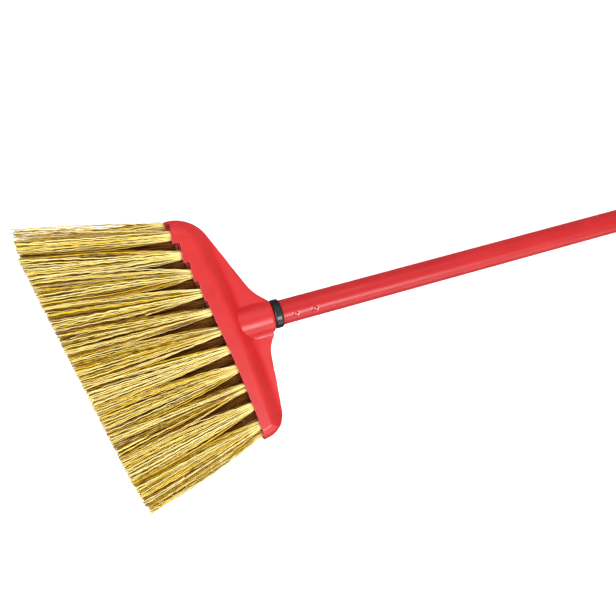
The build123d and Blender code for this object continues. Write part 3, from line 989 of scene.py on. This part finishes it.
def studio_sky(strength):
    """Even light from above that dims towards the walls and the floor."""
    world = bpy.data.worlds.new("studio")
    world.use_nodes = True
    tree = world.node_tree
    sky = tree.nodes["Background"]
    sky.inputs["Color"].default_value = WHITE
    coordinates = tree.nodes.new("ShaderNodeTexCoord")
    height = tree.nodes.new("ShaderNodeSeparateXYZ")
    tree.links.new(coordinates.outputs["Generated"], height.inputs["Vector"])
    dimmed = spread(tree, height.outputs["Z"], reads=SKY_RISE, gives=(SKY_LEAST * strength, strength))
    tree.links.new(dimmed, sky.inputs["Strength"])
    return world


def stage_object(name, points, faces, material):
    """A smooth mesh that belongs to the stage."""
    mesh = bpy.data.meshes.new(name)
    mesh.from_pydata(points, [], faces)
    smooth_faces(mesh)
    mesh.materials.append(material)
    thing = bpy.data.objects.new(name, mesh)
    bpy.context.scene.collection.objects.link(thing)
    return thing


def lay_floor(stage, material):
    """A flat floor that is left out of reflections."""
    half = stage.floor_size / 2
    corners = [(-half, -half, 0.0), (half, -half, 0.0), (half, half, 0.0), (-half, half, 0.0)]
    floor = stage_object("floor", corners, [(0, 1, 2, 3)], material)
    floor.visible_glossy = False


def raise_backdrop(stage, material):
    """A round wall that curves up out of the floor and leaves the broom's light as it is."""
    points = []
    for step in range(WALL_STEPS + 1):
        part = step / WALL_STEPS
        out = stage.wall_start + (stage.wall_reach - stage.wall_start) * part
        high = stage.wall_height * part**2
        for k in range(WALL_SIDES):
            angle = 2 * pi * k / WALL_SIDES
            points.append((out * cos(angle), out * sin(angle), high))
    wall = stage_object("backdrop", points, ring_faces(WALL_STEPS + 1, WALL_SIDES), material)
    wall.visible_diffuse = False
    wall.visible_glossy = False
    wall.visible_shadow = False


def stand_camera(scene, stage):
    """Stands the camera, with its lens worked out for the picture's width, and looks through it."""
    lens = bpy.data.cameras.new("camera")
    lens.sensor_width = 36.0
    lens.lens = lens.sensor_width * stage.focal_pixels / PICTURE_WIDTH
    lens.clip_start = 0.02
    lens.clip_end = 40.0
    camera = bpy.data.objects.new("camera", lens)
    scene.collection.objects.link(camera)
    up = Vector(BROOM_AXES @ np.array(stage.camera_up))
    aim(camera, at(stage.camera_place), at(stage.camera_aim), up)
    scene.camera = camera


# Operators


class BROOM_OT_bristles(bpy.types.Operator):
    """Builds every tuft's crimped strands."""

    bl_idname = "broom.bristles"
    bl_label = "Bristles"

    def execute(self, context):
        settings = context.scene.broom
        material = crimped_strand(settings.colours)
        for row, row_name in enumerate(ROWS):
            for k, station in enumerate(tuft_stations(settings.tufts, row)):
                place = f"{row_name}_{k + 1:02d}"
                random = np.random.default_rng(ROW_SEEDS * row + k)
                mesh = strand_mesh(f"bristles_{place}", settings.tufts, row, k, station, random)
                new_piece(mesh.name, mesh, material, "head", f"tuft_{place}")
        return {"FINISHED"}


class BROOM_OT_head(bpy.types.Operator):
    """Finishes the head block and the staples in it."""

    bl_idname = "broom.head"
    bl_label = "Head block"

    def execute(self, context):
        colours = context.scene.broom.colours
        give_finish("head_block", moulded_red(colours))
        give_finish("tuft_staples", staple_wire(colours))
        return {"FINISHED"}


class BROOM_OT_tip(bpy.types.Operator):
    """Builds the tip with its collar and thread."""

    bl_idname = "broom.tip"
    bl_label = "Threaded tip"

    def execute(self, context):
        settings = context.scene.broom
        material = moulded_black("tip_black", settings.colours.tip_black, roughness=0.27)
        mesh = tip_mesh(settings.tip)
        new_piece(mesh.name, mesh, material, "handle", "threaded_tip")
        return {"FINISHED"}


class BROOM_OT_handle(bpy.types.Operator):
    """Finishes the tube and its end cap."""

    bl_idname = "broom.handle"
    bl_label = "Handle"

    def execute(self, context):
        settings = context.scene.broom
        give_finish("handle_tube", coated_red(settings.colours, settings.tip))
        give_finish("end_cap", moulded_black("cap_black", settings.colours.cap_black, roughness=0.44))
        return {"FINISHED"}


class BROOM_OT_stage(bpy.types.Operator):
    """Lays the floor, raises the backdrop and sets the lights and the camera."""

    bl_idname = "broom.stage"
    bl_label = "Stage"

    def execute(self, context):
        scene = context.scene
        stage = scene.broom.stage
        pale = studio_white(scene.broom.colours, stage.floor_glow)
        lay_floor(stage, pale)
        raise_backdrop(stage, pale)
        set_lights(stage)
        scene.world = studio_sky(stage.sky)
        scene.view_settings.view_transform = "Standard"
        stand_camera(scene, stage)
        return {"FINISHED"}


class BROOM_PT_dressing(bpy.types.Panel):
    """Lists the broom's operators and settings."""

    bl_idname = "BROOM_PT_dressing"
    bl_label = "Broom"
    bl_space_type = "VIEW_3D"
    bl_region_type = "UI"
    bl_category = "Broom"

    def draw(self, context):
        settings = context.scene.broom
        for operator in OPERATORS:
            self.layout.operator(operator.bl_idname)
        for group in (settings.tufts, settings.tip, settings.colours, settings.stage):
            box = self.layout.box()
            for name in group.__annotations__:
                box.prop(group, name)


OPERATORS = (BROOM_OT_bristles, BROOM_OT_head, BROOM_OT_tip, BROOM_OT_handle, BROOM_OT_stage)
CLASSES = (BroomTufts, BroomTip, BroomColours, BroomStage, BroomSettings, *OPERATORS, BROOM_PT_dressing)


def register():
    """Adds the classes and the scene's settings."""
    for item in CLASSES:
        bpy.utils.register_class(item)
    bpy.types.Scene.broom = PointerProperty(type=BroomSettings)


def unregister():
    """Takes the settings and the classes away again."""
    del bpy.types.Scene.broom
    for item in reversed(CLASSES):
        bpy.utils.unregister_class(item)


def main():
    """Builds everything in order."""
    register()
    bpy.ops.broom.bristles()
    bpy.ops.broom.head()
    bpy.ops.broom.tip()
    bpy.ops.broom.handle()
    bpy.ops.broom.stage()


if __name__ == "__main__":
    main()
